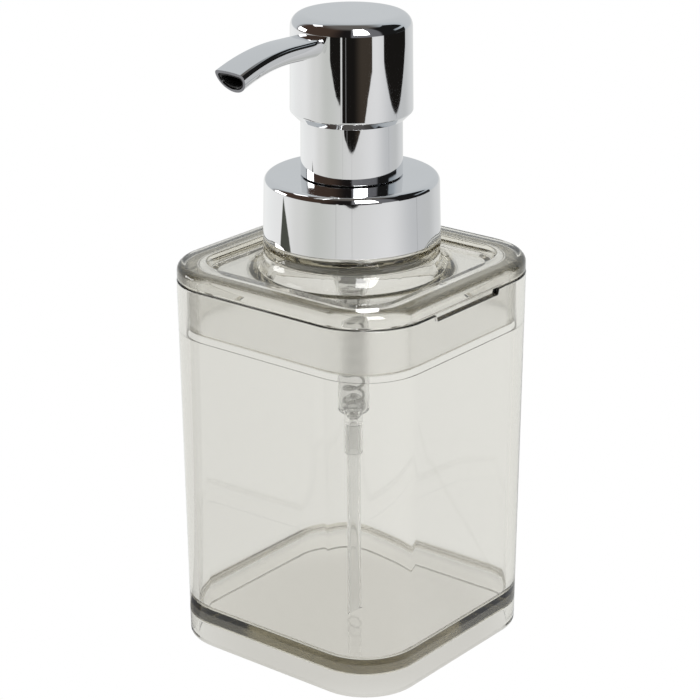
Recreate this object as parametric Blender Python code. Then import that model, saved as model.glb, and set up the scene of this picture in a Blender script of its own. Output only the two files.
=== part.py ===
"""Soap pump dispenser: a square tumbler, a lift-off lid and a screwed-on lotion pump.

Metres, +Z up. The origin is at table height, in the middle of the room that the dispenser
takes up, spout included. The tumbler, the lid and the pump share one upright axis, which is
AXIS_Y behind it, and every piece is modelled around that axis and placed under one empty.
The spout points along -Y, turned by HEAD_TURN. The pry notch in the rim is on the +X side.
"""

import math

import bmesh
import bpy
from mathutils import Matrix, Vector

# ---------------------------------------------------------------- driving dimensions
AXIS_Y = 0.0028           # from the origin to the dispenser's axis
GAP = 0.0003              # clearance between touching pieces

# tumbler
BOTTLE_WIDTH = 0.0700     # across the flats at the rim
BASE_WIDTH = 0.0674       # across the flats at the foot
RIM_RADIUS = 0.0165       # outer corner radius at the rim
BASE_RADIUS = 0.0146      # outer corner radius at the foot
RIM_HEIGHT = 0.0944
WALL = 0.0023
FOOT_DEPTH = 0.0060       # hollow under the floor
FLOOR_TOP = 0.0094
LEDGE_HEIGHT = 0.0814     # inner step where the wall thins for the lid's skirt
LEDGE_STEP = 0.0005
NOTCH_WIDTH = 0.0240
NOTCH_DEPTH = 0.0014

# lid
LID_WIDTH = 0.0698
LID_BOTTOM = RIM_HEIGHT + 0.0004
LID_TOP = 0.0985
LID_EDGE_ROUND = 0.0019
LID_FRAME = 0.0072        # width of the raised border
LID_RECESS = 0.0020       # depth of the recessed panel
LID_PLATE = 0.0020        # thickness of the border and of the recessed panel
LID_STEP_WALL = 0.0014    # thickness of the slope between them
LID_SLOPE = 0.0012        # how far the slope runs inwards
LID_UNDERSIDE = LID_TOP - LID_RECESS - LID_PLATE
SKIRT_BOTTOM = 0.0827
SKIRT_WALL = 0.0026

# boss and threaded neck on the lid
BOSS_DISC_RADIUS = 0.0215
BOSS_DISC_BOTTOM = 0.1022
BOSS_DISC_TOP = 0.1041
BOSS_FLARE_RADIUS = 0.0262
NECK_RADIUS = 0.0150
NECK_BORE = 0.0120
NECK_TOP = 0.1122
THREAD_PITCH = 0.0040
THREAD_HEIGHT = 0.0010
THREAD_TURNS = 1.25
THREAD_BOTTOM = BOSS_DISC_TOP + 0.0022
# the hollow under the boss, from the lid's underside to the bore: (radius, height)
BOSS_HOLLOW = (
    (0.0212, LID_UNDERSIDE),
    (0.0200, 0.0965),
    (0.0192, 0.0990),
    (0.0178, 0.1006),
    (0.0155, 0.1016),
    (0.0130, 0.1022),
    (NECK_BORE, 0.1034),
)

# closure: nut, chromed collar and the sleeve that stands on it
COLLAR_BOTTOM = BOSS_DISC_TOP + GAP
COLLAR_TOP = 0.1195
COLLAR_RADIUS_BOTTOM = 0.0215
COLLAR_RADIUS_TOP = 0.0211
COLLAR_WALL = 0.0011
COLLAR_EDGE_ROUND = 0.0016
NUT_OUTER = 0.0196
NUT_BORE = NECK_RADIUS + THREAD_HEIGHT + GAP
SLEEVE_RADIUS = 0.0123
SLEEVE_WALL = 0.0010
SLEEVE_TOP = 0.1362

# pump
GASKET_THICKNESS = 0.0008
FLANGE_RADIUS = 0.0146
FLANGE_THICKNESS = 0.0014
HOUSING_SOCKET_RADIUS = 0.0086
HOUSING_SOCKET_WALL = 0.0010
HOUSING_SOCKET_BOTTOM = 0.1030
HOUSING_RADIUS = 0.00435
HOUSING_BORE = 0.00365
HOUSING_BOTTOM = 0.0590
HOUSING_FLOOR = 0.0006
NIPPLE_RADIUS = 0.0026
NIPPLE_BOTTOM = 0.0476
TUBE_RADIUS = 0.0019
TUBE_BORE = 0.0013
TUBE_TOP = 0.0550
TUBE_FOOT = (0.0098, -0.0118)   # where the tube ends, seen from above
TUBE_CUT = 0.5            # slope of the cut at its end
INLET_RADIUS = 0.0009
BALL_RADIUS = 0.0013
BALL_HEIGHT = 0.05775
SEAT_HEIGHT = 0.0566
CHAMBER_HEIGHT = 0.0576
STEM_RADIUS = 0.0024
STEM_BORE = 0.0014
STEM_TOP = 0.1480
PISTON_TOP = 0.0985
PISTON_LENGTH = 0.0070
PISTON_FLOAT = 0.0010
SPRING_BOTTOM = 0.0610
SPRING_TOP = 0.0850
SPRING_RADIUS = 0.0028
SPRING_WIRE = 0.0004
SPRING_TURNS = 8.0
SPRING_END_TURNS = 0.75   # closed part of a turn at each end
SEAT_TOP = 0.0625
CHAPLET_PLUG_BOTTOM = 0.1042
CHAPLET_GUIDE_BOTTOM = 0.1020
CHAPLET_TOP = 0.1215
TOWER_RADIUS = 0.0052
SEAL_THICKNESS = 0.0010

# head
HEAD_BOTTOM = 0.1335
HEAD_TOP = 0.1588
HEAD_RADIUS_BOTTOM = 0.0147
HEAD_RADIUS_TOP = 0.0144
HEAD_CHAMFER = 0.0018
HEAD_EDGE_ROUND = 0.0032
HEAD_WALL = 0.0012
HEAD_TURN = math.radians(-4.0)
SPOUT_REACH = 0.0405      # from the pump's axis to the top lip of the mouth
SPOUT_ROOT_TOP = 0.1552
SPOUT_STRAIGHT = 0.0220   # the spout curves down beyond this distance
SPOUT_CURVE = 10.8        # drop = curve * distance squared
SPOUT_HALF_ROOT = 0.0041
SPOUT_HALF_MOUTH = 0.0046
SPOUT_DEPTH_ROOT = 0.0050
SPOUT_DEPTH_MOUTH = 0.0053
SPOUT_WALL = 0.0007
LINER_WALL = 0.0005
LINER_START = 0.0133      # from the pump's axis
CORE_BOTTOM = 0.1400
CORE_RADIUS = 0.0043
CORE_BORE_TOP = 0.1528
DUCT_END = 0.0130

ROUND_STEPS = 48          # sides of the large turned pieces
SMALL_STEPS = 24          # sides of the small turned pieces
CORNER_STEPS = 6          # steps in each rounded corner

# colours: red, green, blue, roughness, metallic
SMOKE = (0.70, 0.69, 0.63, 0.05, 0.0)
CHROME = (0.80, 0.81, 0.82, 0.06, 1.0)
NATURAL = (0.88, 0.89, 0.87, 0.35, 0.0)
WHITE = (0.90, 0.90, 0.89, 0.40, 0.0)
BLACK = (0.03, 0.03, 0.03, 0.45, 0.0)
FOAM = (0.84, 0.84, 0.82, 0.80, 0.0)
STEEL = (0.56, 0.56, 0.55, 0.25, 1.0)


# ---------------------------------------------------------------- helpers
def clear_scene():
    for item in list(bpy.data.objects):
        bpy.data.objects.remove(item, do_unlink=True)


def material(name, finish):
    found = bpy.data.materials.new(name)
    found.use_nodes = True
    shader = found.node_tree.nodes["Principled BSDF"]
    red, green, blue, roughness, metallic = finish
    shader.inputs["Base Color"].default_value = (red, green, blue, 1.0)
    shader.inputs["Roughness"].default_value = roughness
    shader.inputs["Metallic"].default_value = metallic
    return found


def add_stand():
    """The empty that every piece hangs from, on the dispenser's axis."""
    stand = bpy.data.objects.new("stand", None)
    stand.location = (0.0, AXIS_Y, 0.0)
    bpy.context.scene.collection.objects.link(stand)
    return stand


def place(name, mesh_data, finish, pivot=(0.0, 0.0, 0.0)):
    """Make a named object from a bmesh, with its origin at pivot, under the stand."""
    bmesh.ops.recalc_face_normals(mesh_data, faces=mesh_data.faces)
    bmesh.ops.translate(mesh_data, verts=mesh_data.verts, vec=-Vector(pivot))
    mesh = bpy.data.meshes.new(name)
    mesh_data.to_mesh(mesh)
    mesh_data.free()
    mesh.shade_smooth()
    mesh.set_sharp_from_angle(angle=math.radians(35.0))
    mesh.materials.append(material(name, finish))
    made = bpy.data.objects.new(name, mesh)
    made.parent = bpy.data.objects["stand"]
    made.location = pivot
    bpy.context.scene.collection.objects.link(made)
    return made


def helper(name, mesh_data):
    """Make a hidden object for a Boolean."""
    made = place(name, mesh_data, WHITE)
    made.hide_render = True
    made.display_type = "WIRE"
    return made


def combine(target, tool, operation):
    boolean = target.modifiers.new(tool.name, "BOOLEAN")
    boolean.operation = operation
    boolean.object = tool


def turned(outline, steps, centre=(0.0, 0.0)):
    """Turn a list of (radius, height) about Z. It starts and ends on the axis, or it is a loop."""
    made = bmesh.new()
    rings = []
    for radius, height in outline:
        if radius < 1e-7:
            rings.append([made.verts.new((centre[0], centre[1], height))])
            continue
        ring = []
        for step in range(steps):
            angle = 2.0 * math.pi * step / steps
            x = centre[0] + radius * math.cos(angle)
            y = centre[1] + radius * math.sin(angle)
            ring.append(made.verts.new((x, y, height)))
        rings.append(ring)
    pairs = list(zip(rings, rings[1:]))
    if len(rings[0]) > 1:
        pairs.append((rings[-1], rings[0]))
    for lower, upper in pairs:
        for step in range(steps):
            following = (step + 1) % steps
            if len(lower) == 1:
                made.faces.new((lower[0], upper[step], upper[following]))
            elif len(upper) == 1:
                made.faces.new((lower[step], upper[0], lower[following]))
            else:
                made.faces.new((lower[step], lower[following], upper[following], upper[step]))
    return made


def tube_outline(outer, inner, bottom, top):
    return [(outer, bottom), (outer, top), (inner, top), (inner, bottom)]


def square_loop(half, radius, height, steps=CORNER_STEPS):
    """A rounded square of half-width half, centred on the axis, as a list of points."""
    centre = half - radius
    points = []
    for corner in range(4):
        middle = math.pi * (0.25 + 0.5 * corner)
        x = math.copysign(centre, math.cos(middle))
        y = math.copysign(centre, math.sin(middle))
        for step in range(steps + 1):
            angle = middle - math.pi / 4.0 + math.pi / 2.0 * step / steps
            points.append(Vector((x + radius * math.cos(angle), y + radius * math.sin(angle), height)))
    return points


def skin(loops):
    """Join loops of equal length in order, and close the first and the last."""
    made = bmesh.new()
    rings = [[made.verts.new(point) for point in loop] for loop in loops]
    for lower, upper in zip(rings, rings[1:]):
        count = len(lower)
        for step in range(count):
            following = (step + 1) % count
            made.faces.new((lower[step], lower[following], upper[following], upper[step]))
    made.faces.new(rings[0])
    made.faces.new(rings[-1])
    return made


def rounded_edge(half, radius, height, amount, steps, rising):
    """Loops that round a rounded square's edge, from its side to its flat, or back."""
    loops = []
    for step in range(steps + 1):
        angle = math.pi / 2.0 * step / steps
        inset = amount * (1.0 - math.cos(angle))
        rise = amount * math.sin(angle)
        loops.append(square_loop(half - inset, radius - inset, height + (rise if rising else -rise)))
    return loops


def helix_ridge(wall, height, base_width, tip_width, start_angle):
    """A thread ridge that stands on a cylinder of radius wall; a negative height points inwards."""
    steps = int(24 * THREAD_TURNS)
    root = wall - math.copysign(0.0003, height)
    loops = []
    for step in range(steps + 1):
        turn = THREAD_TURNS * step / steps
        angle = start_angle + 2.0 * math.pi * turn
        middle = THREAD_BOTTOM + THREAD_PITCH * turn
        fade = min(1.0, 6.0 * min(step, steps - step) / steps + 0.05)
        tip = wall + height * fade
        section = []
        for radius, offset in (
            (root, -base_width / 2.0),
            (tip, -tip_width / 2.0),
            (tip, tip_width / 2.0),
            (root, base_width / 2.0),
        ):
            point = (radius * math.cos(angle), radius * math.sin(angle), middle + offset)
            section.append(Vector(point))
        loops.append(section)
    return skin(loops)


# ---------------------------------------------------------------- tumbler
def outer_half(height):
    part = height / RIM_HEIGHT
    return (BASE_WIDTH + (BOTTLE_WIDTH - BASE_WIDTH) * part) / 2.0


def outer_radius(height):
    return BASE_RADIUS + (RIM_RADIUS - BASE_RADIUS) * height / RIM_HEIGHT


def wall_loop(height, inset):
    return square_loop(outer_half(height) - inset, outer_radius(height) - inset, height)


def build_bottle():
    foot_round = 0.0009
    rim_round = 0.0005
    floor_fillet = 0.0016
    thin = WALL - LEDGE_STEP
    loops = [wall_loop(FOOT_DEPTH, WALL + 0.0006)]
    loops.append(wall_loop(FOOT_DEPTH - 0.0005, WALL))
    loops.append(wall_loop(0.0002, WALL - 0.0003))
    loops.append(wall_loop(0.0, WALL - 0.0005))
    loops.append(wall_loop(0.0, foot_round))
    for step in (1, 2, 3):
        angle = math.pi / 6.0 * step
        loops.append(wall_loop(foot_round * (1.0 - math.cos(angle)), foot_round * (1.0 - math.sin(angle))))
    loops.append(wall_loop(RIM_HEIGHT - rim_round, 0.0))
    loops.append(wall_loop(RIM_HEIGHT, rim_round))
    loops.append(wall_loop(RIM_HEIGHT, thin))
    loops.append(wall_loop(LEDGE_HEIGHT, thin))
    loops.append(wall_loop(LEDGE_HEIGHT - 0.0002, WALL))
    for step in range(4):
        angle = math.pi / 6.0 * step
        height = FLOOR_TOP + floor_fillet * (1.0 - math.sin(angle))
        loops.append(wall_loop(height, WALL + floor_fillet * (1.0 - math.cos(angle))))
    bottle = place("bottle", skin(loops), SMOKE)
    combine(bottle, build_notch_cutter(), "DIFFERENCE")
    return bottle


def build_notch_cutter():
    """A trapezoid across the rim of the +X wall, narrower at its floor."""
    half_top = NOTCH_WIDTH / 2.0 + 0.0008
    half_floor = NOTCH_WIDTH / 2.0
    floor = RIM_HEIGHT - NOTCH_DEPTH
    above = RIM_HEIGHT + 0.0010
    loops = []
    for x in (BOTTLE_WIDTH / 2.0 - 0.0040, BOTTLE_WIDTH / 2.0 + 0.0020):
        corners = ((-half_floor, floor), (half_floor, floor), (half_top, above), (-half_top, above))
        loops.append([Vector((x, y, z)) for y, z in corners])
    return helper("notch_cutter", skin(loops))


# ---------------------------------------------------------------- lid
def build_lid():
    half = LID_WIDTH / 2.0
    corner = RIM_RADIUS - (BOTTLE_WIDTH - LID_WIDTH) / 2.0
    soft = 0.0003
    recess_floor = LID_TOP - LID_RECESS
    ceiling = LID_TOP - LID_PLATE
    step = LID_FRAME + LID_STEP_WALL
    skirt_half = BOTTLE_WIDTH / 2.0 - (WALL - LEDGE_STEP) - GAP - 0.0003
    skirt_corner = RIM_RADIUS - (BOTTLE_WIDTH / 2.0 - skirt_half)
    inner_half = skirt_half - SKIRT_WALL
    inner_corner = skirt_corner - SKIRT_WALL

    def border(inset, height):
        return square_loop(half - inset, corner - inset, height)

    loops = [border(LID_FRAME + LID_SLOPE, recess_floor), border(LID_FRAME, LID_TOP - soft)]
    loops.append(border(LID_FRAME - soft, LID_TOP))
    loops += reversed(rounded_edge(half, corner, LID_TOP - LID_EDGE_ROUND, LID_EDGE_ROUND, 4, True))
    loops.append(border(0.0, LID_BOTTOM + 0.0004))
    loops.append(border(0.0004, LID_BOTTOM))
    loops.append(square_loop(skirt_half, skirt_corner, LID_BOTTOM))
    loops.append(square_loop(skirt_half, skirt_corner, SKIRT_BOTTOM + 0.0005))
    loops.append(square_loop(skirt_half - 0.0005, skirt_corner - 0.0005, SKIRT_BOTTOM))
    loops.append(square_loop(inner_half, inner_corner, SKIRT_BOTTOM))
    loops.append(square_loop(inner_half, inner_corner, ceiling - 0.0008))
    loops.append(square_loop(inner_half - 0.0008, inner_corner - 0.0008, ceiling))
    loops.append(border(step, ceiling))
    loops.append(border(step + LID_SLOPE, LID_UNDERSIDE))
    lid = place("lid", skin(loops), SMOKE)
    combine(lid, build_boss(recess_floor), "UNION")
    combine(lid, build_boss_bore(), "DIFFERENCE")
    ridge = helix_ridge(NECK_RADIUS, THREAD_HEIGHT, 0.0016, 0.0007, 0.0)
    combine(lid, helper("neck_ridge", ridge), "UNION")
    return lid


def build_boss(recess_floor):
    """Flare, disc and neck; the flare is a concave quarter curve."""
    root = BOSS_FLARE_RADIUS - LID_SLOPE
    outline = [(0.0, recess_floor - 0.0010), (root, recess_floor - 0.0010)]
    outline.append((BOSS_FLARE_RADIUS, recess_floor - 0.0001))
    steps = 6
    waist = BOSS_DISC_RADIUS - 0.0002
    for step in range(steps + 1):
        angle = math.pi / 2.0 * step / steps
        radius = BOSS_FLARE_RADIUS - (BOSS_FLARE_RADIUS - waist) * math.sin(angle)
        height = BOSS_DISC_BOTTOM - (BOSS_DISC_BOTTOM - recess_floor) * math.cos(angle)
        outline.append((radius, height))
    outline.append((BOSS_DISC_RADIUS, BOSS_DISC_BOTTOM + 0.0001))
    outline.append((BOSS_DISC_RADIUS, BOSS_DISC_TOP - 0.0004))
    outline.append((BOSS_DISC_RADIUS - 0.0004, BOSS_DISC_TOP))
    outline.append((NECK_RADIUS, BOSS_DISC_TOP))
    outline.append((NECK_RADIUS, NECK_TOP - 0.0005))
    outline.append((NECK_RADIUS - 0.0005, NECK_TOP))
    outline.append((0.0, NECK_TOP))
    return helper("boss", turned(outline, ROUND_STEPS))


def build_boss_bore():
    """The hollow under the flare and the bore through the neck."""
    below = LID_UNDERSIDE - 0.0010
    above = NECK_TOP + 0.0010
    outline = [(0.0, below), (BOSS_HOLLOW[0][0], below)]
    outline += BOSS_HOLLOW
    outline += [(NECK_BORE, above), (0.0, above)]
    return helper("boss_bore", turned(outline, ROUND_STEPS))


# ---------------------------------------------------------------- closure
def flange_bottom():
    return NECK_TOP + GAP + GASKET_THICKNESS + GAP


def flange_top():
    return flange_bottom() + FLANGE_THICKNESS


def build_closure_nut():
    bottom = COLLAR_BOTTOM + 0.0006
    shoulder = flange_top() + GAP
    top = COLLAR_TOP - COLLAR_WALL - GAP
    opening = SLEEVE_RADIUS - SLEEVE_WALL - 0.0008
    outline = [(NUT_BORE, bottom), (NUT_OUTER, bottom), (NUT_OUTER, top - 0.0004)]
    outline += [(NUT_OUTER - 0.0004, top), (opening, top), (opening, shoulder), (NUT_BORE, shoulder)]
    nut = place("closure_nut", turned(outline, ROUND_STEPS), WHITE)
    ridge = helix_ridge(NUT_BORE, -THREAD_HEIGHT, 0.0014, 0.0006, math.pi)
    combine(nut, helper("nut_ridge", ridge), "UNION")
    return nut


def build_collar_shell():
    inner = NUT_OUTER + GAP
    hole = SLEEVE_RADIUS - SLEEVE_WALL
    outline = [(COLLAR_RADIUS_BOTTOM - 0.0002, COLLAR_BOTTOM), (COLLAR_RADIUS_BOTTOM, COLLAR_BOTTOM + 0.0003)]
    outline += round_over(COLLAR_RADIUS_TOP, COLLAR_TOP, COLLAR_EDGE_ROUND, 4)
    outline += [(hole, COLLAR_TOP), (hole, COLLAR_TOP - COLLAR_WALL), (inner, COLLAR_TOP - COLLAR_WALL)]
    outline += [(inner, COLLAR_BOTTOM)]
    return place("collar_shell", turned(outline, ROUND_STEPS), CHROME)


def round_over(radius, top, amount, steps):
    """Outline points of an outer top edge rounded by amount."""
    points = []
    for step in range(steps + 1):
        angle = math.pi / 2.0 * step / steps
        points.append((radius - amount * (1.0 - math.cos(angle)), top - amount * (1.0 - math.sin(angle))))
    return points


def build_neck_sleeve():
    outline = tube_outline(
        SLEEVE_RADIUS, SLEEVE_RADIUS - SLEEVE_WALL, COLLAR_TOP + GAP, SLEEVE_TOP
    )
    return place("neck_sleeve", turned(outline, ROUND_STEPS), CHROME)


# ---------------------------------------------------------------- pump
def build_neck_gasket():
    bottom = NECK_TOP + GAP
    outline = tube_outline(FLANGE_RADIUS, NECK_BORE - 0.0010, bottom, bottom + GASKET_THICKNESS)
    return place("neck_gasket", turned(outline, ROUND_STEPS), FOAM)


def build_pump_housing():
    socket_bore = HOUSING_SOCKET_RADIUS - HOUSING_SOCKET_WALL
    socket_bottom = HOUSING_SOCKET_BOTTOM
    floor = HOUSING_BOTTOM + HOUSING_FLOOR
    chamber = BALL_RADIUS + 0.0004
    socket = TUBE_RADIUS + 0.0002
    outline = [(FLANGE_RADIUS, flange_bottom()), (FLANGE_RADIUS, flange_top())]
    outline += [(socket_bore, flange_top()), (socket_bore, socket_bottom)]
    outline += [(HOUSING_BORE, socket_bottom - 0.0022), (HOUSING_BORE, floor)]
    outline += [(chamber, floor), (chamber, CHAMBER_HEIGHT), (INLET_RADIUS, SEAT_HEIGHT)]
    outline += [(INLET_RADIUS, TUBE_TOP + GAP), (socket, TUBE_TOP + GAP), (socket, NIPPLE_BOTTOM)]
    outline += [(NIPPLE_RADIUS, NIPPLE_BOTTOM), (NIPPLE_RADIUS, HOUSING_BOTTOM - 0.0010)]
    outline += [(HOUSING_RADIUS, HOUSING_BOTTOM), (HOUSING_RADIUS, socket_bottom - 0.0024)]
    outline += [(HOUSING_SOCKET_RADIUS, socket_bottom - 0.0002), (HOUSING_SOCKET_RADIUS, flange_bottom())]
    return place("pump_housing", turned(outline, SMALL_STEPS), NATURAL)


def build_spring_seat():
    """A cage over the inlet ball: a washer with a short collar that centres the spring."""
    bottom = HOUSING_BOTTOM + HOUSING_FLOOR + 0.0001
    step = SPRING_BOTTOM - SPRING_WIRE - 0.0002
    washer = HOUSING_BORE - 0.0002
    collar = SPRING_RADIUS - SPRING_WIRE - 0.0003
    outline = [(washer, bottom), (washer, step), (collar, step), (collar, SEAT_TOP)]
    outline += [(0.0010, SEAT_TOP), (0.0010, step + 0.0008), (0.0015, step + 0.0002), (0.0015, bottom)]
    return place("spring_seat", turned(outline, SMALL_STEPS), NATURAL)


def build_inlet_ball():
    outline = [(0.0, BALL_HEIGHT - BALL_RADIUS)]
    for step in range(1, 8):
        angle = -math.pi / 2.0 + math.pi * step / 8.0
        outline.append((BALL_RADIUS * math.cos(angle), BALL_HEIGHT + BALL_RADIUS * math.sin(angle)))
    outline.append((0.0, BALL_HEIGHT + BALL_RADIUS))
    return place("inlet_ball", turned(outline, 16), STEEL, (0.0, 0.0, BALL_HEIGHT))


def build_main_spring():
    """A round wire coil whose end turns lie flat."""
    steps_per_turn = 14
    count = int(SPRING_TURNS * steps_per_turn)
    loops = []
    dead = SPRING_END_TURNS
    for step in range(count + 1):
        turn = SPRING_TURNS * step / count
        active = min(max(turn - dead, 0.0), SPRING_TURNS - 2.0 * dead) / (SPRING_TURNS - 2.0 * dead)
        end_rise = 2.2 * SPRING_WIRE * dead
        flat = min(turn, dead) / dead * end_rise + max(turn - SPRING_TURNS + dead, 0.0) / dead * end_rise
        height = SPRING_BOTTOM + flat + active * (SPRING_TOP - SPRING_BOTTOM - 2.0 * end_rise)
        angle = 2.0 * math.pi * turn
        outward = Vector((math.cos(angle), math.sin(angle), 0.0))
        centre = outward * SPRING_RADIUS + Vector((0.0, 0.0, height))
        section = []
        for side in range(6):
            around = 2.0 * math.pi * side / 6
            lift = Vector((0.0, 0.0, math.sin(around)))
            section.append(centre + SPRING_WIRE * (math.cos(around) * outward + lift))
        loops.append(section)
    return place("main_spring", skin(loops), STEEL)


def build_piston_core():
    """The valve rod: a foot that the spring lifts, a waist inside the piston and a tip in the stem."""
    foot = SPRING_TOP + SPRING_WIRE + 0.0003
    seat = PISTON_TOP - PISTON_LENGTH - 0.0012
    outline = [(0.0, foot - 0.0040), (0.0014, foot - 0.0034), (0.0014, foot), (0.0031, foot)]
    outline += [(0.0031, foot + 0.0010), (0.0016, foot + 0.0022), (0.0012, foot + 0.0024)]
    outline += [(0.0012, seat), (0.0020, seat + 0.0004), (0.0020, seat + 0.0010), (0.0010, seat + 0.0020)]
    outline += [(0.0010, PISTON_TOP + 0.0080), (0.0, PISTON_TOP + 0.0086)]
    return place("piston_core", turned(outline, 16), NATURAL)


def build_piston():
    """A hollow plunger with a wiping lip at each end."""
    low = PISTON_TOP - PISTON_LENGTH
    lip = HOUSING_BORE - 0.00012
    body = HOUSING_BORE - 0.0009
    outline = [(body - 0.0008, low + 0.0008), (lip - 0.0004, low), (lip, low + 0.0001), (body, low + 0.0018)]
    outline += [(body, PISTON_TOP - 0.0014), (lip, PISTON_TOP - 0.0001), (lip - 0.0004, PISTON_TOP)]
    outline += [(0.0014, PISTON_TOP - 0.0012), (0.0014, low + 0.0024), (0.0016, low + 0.0008)]
    return place("piston", turned(outline, SMALL_STEPS), WHITE)


def build_stem():
    outline = tube_outline(STEM_RADIUS, STEM_BORE, PISTON_TOP + PISTON_FLOAT, STEM_TOP)
    return place("stem", turned(outline, SMALL_STEPS), NATURAL)


def build_chaplet():
    """The cap of the housing: a plug in its socket, a flange and the tower that guides the stem."""
    plug = HOUSING_SOCKET_RADIUS - HOUSING_SOCKET_WALL - GAP
    guide = STEM_RADIUS + 0.0002
    seat = flange_top() + GAP
    rim = NUT_BORE - 0.0062
    outline = [(plug, CHAPLET_PLUG_BOTTOM), (plug, seat), (rim, seat)]
    outline += [(rim, seat + 0.0016), (TOWER_RADIUS + 0.0006, seat + 0.0016)]
    outline += [(TOWER_RADIUS, CHAPLET_TOP), (guide, CHAPLET_TOP), (guide, CHAPLET_GUIDE_BOTTOM)]
    outline += [(TOWER_RADIUS, CHAPLET_GUIDE_BOTTOM), (TOWER_RADIUS + 0.0008, CHAPLET_PLUG_BOTTOM)]
    return place("chaplet", turned(outline, SMALL_STEPS), WHITE)


def build_stem_seal():
    """A wiper ring at the top of the guide tower."""
    bottom = CHAPLET_TOP + GAP
    outline = tube_outline(TOWER_RADIUS - 0.0002, STEM_RADIUS + 0.0001, bottom, bottom + SEAL_THICKNESS)
    return place("stem_seal", turned(outline, SMALL_STEPS), FOAM)


def build_dip_tube():
    """A tube that leaves the nipple straight, leans towards the +X, -Y corner and ends in a slanted cut."""
    foot = Vector((*TUBE_FOOT, FLOOR_TOP + 0.0012))
    bend = NIPPLE_BOTTOM - 0.0020
    steps = 14
    path = [Vector((0.0, 0.0, TUBE_TOP)), Vector((0.0, 0.0, NIPPLE_BOTTOM))]
    for step in range(1, steps + 1):
        part = step / steps
        lean = part ** 1.35
        path.append(Vector((foot.x * lean, foot.y * lean, bend + (foot.z - bend) * part)))
    outer = []
    inner = []
    for index, centre in enumerate(path):
        before = path[max(index - 1, 0)]
        after = path[min(index + 1, len(path) - 1)]
        along = (after - before).normalized()
        side = along.orthogonal() if index == 0 else side - side.dot(along) * along
        side.normalize()
        across = along.cross(side)
        cut = TUBE_CUT if index == len(path) - 1 else 0.0
        for radius, loops in ((TUBE_RADIUS, outer), (TUBE_BORE, inner)):
            section = []
            for step in range(12):
                angle = 2.0 * math.pi * step / 12
                offset = radius * (math.cos(angle) * side + math.sin(angle) * across)
                section.append(centre + offset + along * (cut * offset.dot(side)))
            loops.append(section)
    return place("dip_tube", closed_tube(outer, inner), NATURAL)


def closed_tube(outer, inner):
    """Join outer and inner loops into the wall of a tube that is open at both ends."""
    made = bmesh.new()
    rings = [[made.verts.new(point) for point in loop] for loop in outer + inner[::-1]]
    rings.append(rings[0])
    for lower, upper in zip(rings, rings[1:]):
        count = len(lower)
        for step in range(count):
            following = (step + 1) % count
            made.faces.new((lower[step], lower[following], upper[following], upper[step]))
    return made


# ---------------------------------------------------------------- head and spout
def spout_sections(start, end, inset, count):
    """D-shaped sections along the spout, flat side up, drawn in by inset."""
    loops = []
    for index in range(count + 1):
        along = start + (end - start) * index / count
        bent = max(along - SPOUT_STRAIGHT, 0.0)
        slope = math.atan(2.0 * SPOUT_CURVE * bent)
        part = min(max(along - HEAD_RADIUS_TOP, 0.0) / (SPOUT_REACH - HEAD_RADIUS_TOP), 1.0)
        half = SPOUT_HALF_ROOT + (SPOUT_HALF_MOUTH - SPOUT_HALF_ROOT) * part - inset
        depth = SPOUT_DEPTH_ROOT + (SPOUT_DEPTH_MOUTH - SPOUT_DEPTH_ROOT) * part - 2.0 * inset
        top = Vector((0.0, -along, SPOUT_ROOT_TOP - SPOUT_CURVE * bent * bent))
        up = Vector((0.0, -math.sin(slope), math.cos(slope)))
        top -= up * inset
        loops.append([top + Vector((x, 0.0, 0.0)) + up * z for x, z in d_outline(half, depth)])
    return loops


def d_outline(half, depth):
    """A D on its back: a slightly crowned top, small shoulders and a full, round belly."""
    crown = 0.0002
    shoulder = min(0.0006, depth * 0.2)
    fullness = 0.80
    points = [(-half + shoulder, -0.25 * shoulder), (0.0, crown), (half - shoulder, -0.25 * shoulder)]
    belly = 12
    for step in range(belly + 1):
        angle = math.pi * step / belly
        across = math.copysign(abs(math.cos(angle)) ** fullness, math.cos(angle))
        down = math.sin(angle) ** fullness
        points.append((half * across, -shoulder - (depth - shoulder) * down))
    return points


def turn_head(target):
    target.data.transform(Matrix.Rotation(HEAD_TURN, 4, "Z"))


def build_head_shell():
    lip = SLEEVE_RADIUS + 0.00035
    inner_low = HEAD_RADIUS_BOTTOM - HEAD_WALL - 0.0004
    ceiling = HEAD_TOP - HEAD_WALL
    outline = [(0.0, HEAD_BOTTOM), (HEAD_RADIUS_BOTTOM - HEAD_CHAMFER, HEAD_BOTTOM)]
    outline += [(HEAD_RADIUS_BOTTOM, HEAD_BOTTOM + HEAD_CHAMFER)]
    outline += round_over(HEAD_RADIUS_TOP, HEAD_TOP - 0.0003, HEAD_EDGE_ROUND, 6)
    outline += [(HEAD_RADIUS_TOP * 0.45, HEAD_TOP - 0.0001), (0.0, HEAD_TOP)]
    shell = place("head_shell", turned(outline, ROUND_STEPS), CHROME)
    combine(shell, helper("spout_outside", skin(spout_sections(0.0100, SPOUT_REACH, 0.0, 14))), "UNION")
    cavity = [(0.0, HEAD_BOTTOM - 0.0010), (lip, HEAD_BOTTOM - 0.0010), (lip, HEAD_BOTTOM + 0.0012)]
    cavity += [(inner_low, HEAD_BOTTOM + HEAD_CHAMFER + 0.0004), (inner_low - 0.0003, ceiling - 0.0022)]
    cavity += [(inner_low - 0.0025, ceiling), (0.0, ceiling)]
    combine(shell, helper("head_cavity", turned(cavity, ROUND_STEPS)), "DIFFERENCE")
    inside = spout_sections(0.0090, SPOUT_REACH + 0.0020, SPOUT_WALL, 14)
    combine(shell, helper("spout_inside", skin(inside)), "DIFFERENCE")
    for part in (shell, *(modifier.object for modifier in shell.modifiers)):
        turn_head(part)
    return shell


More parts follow.
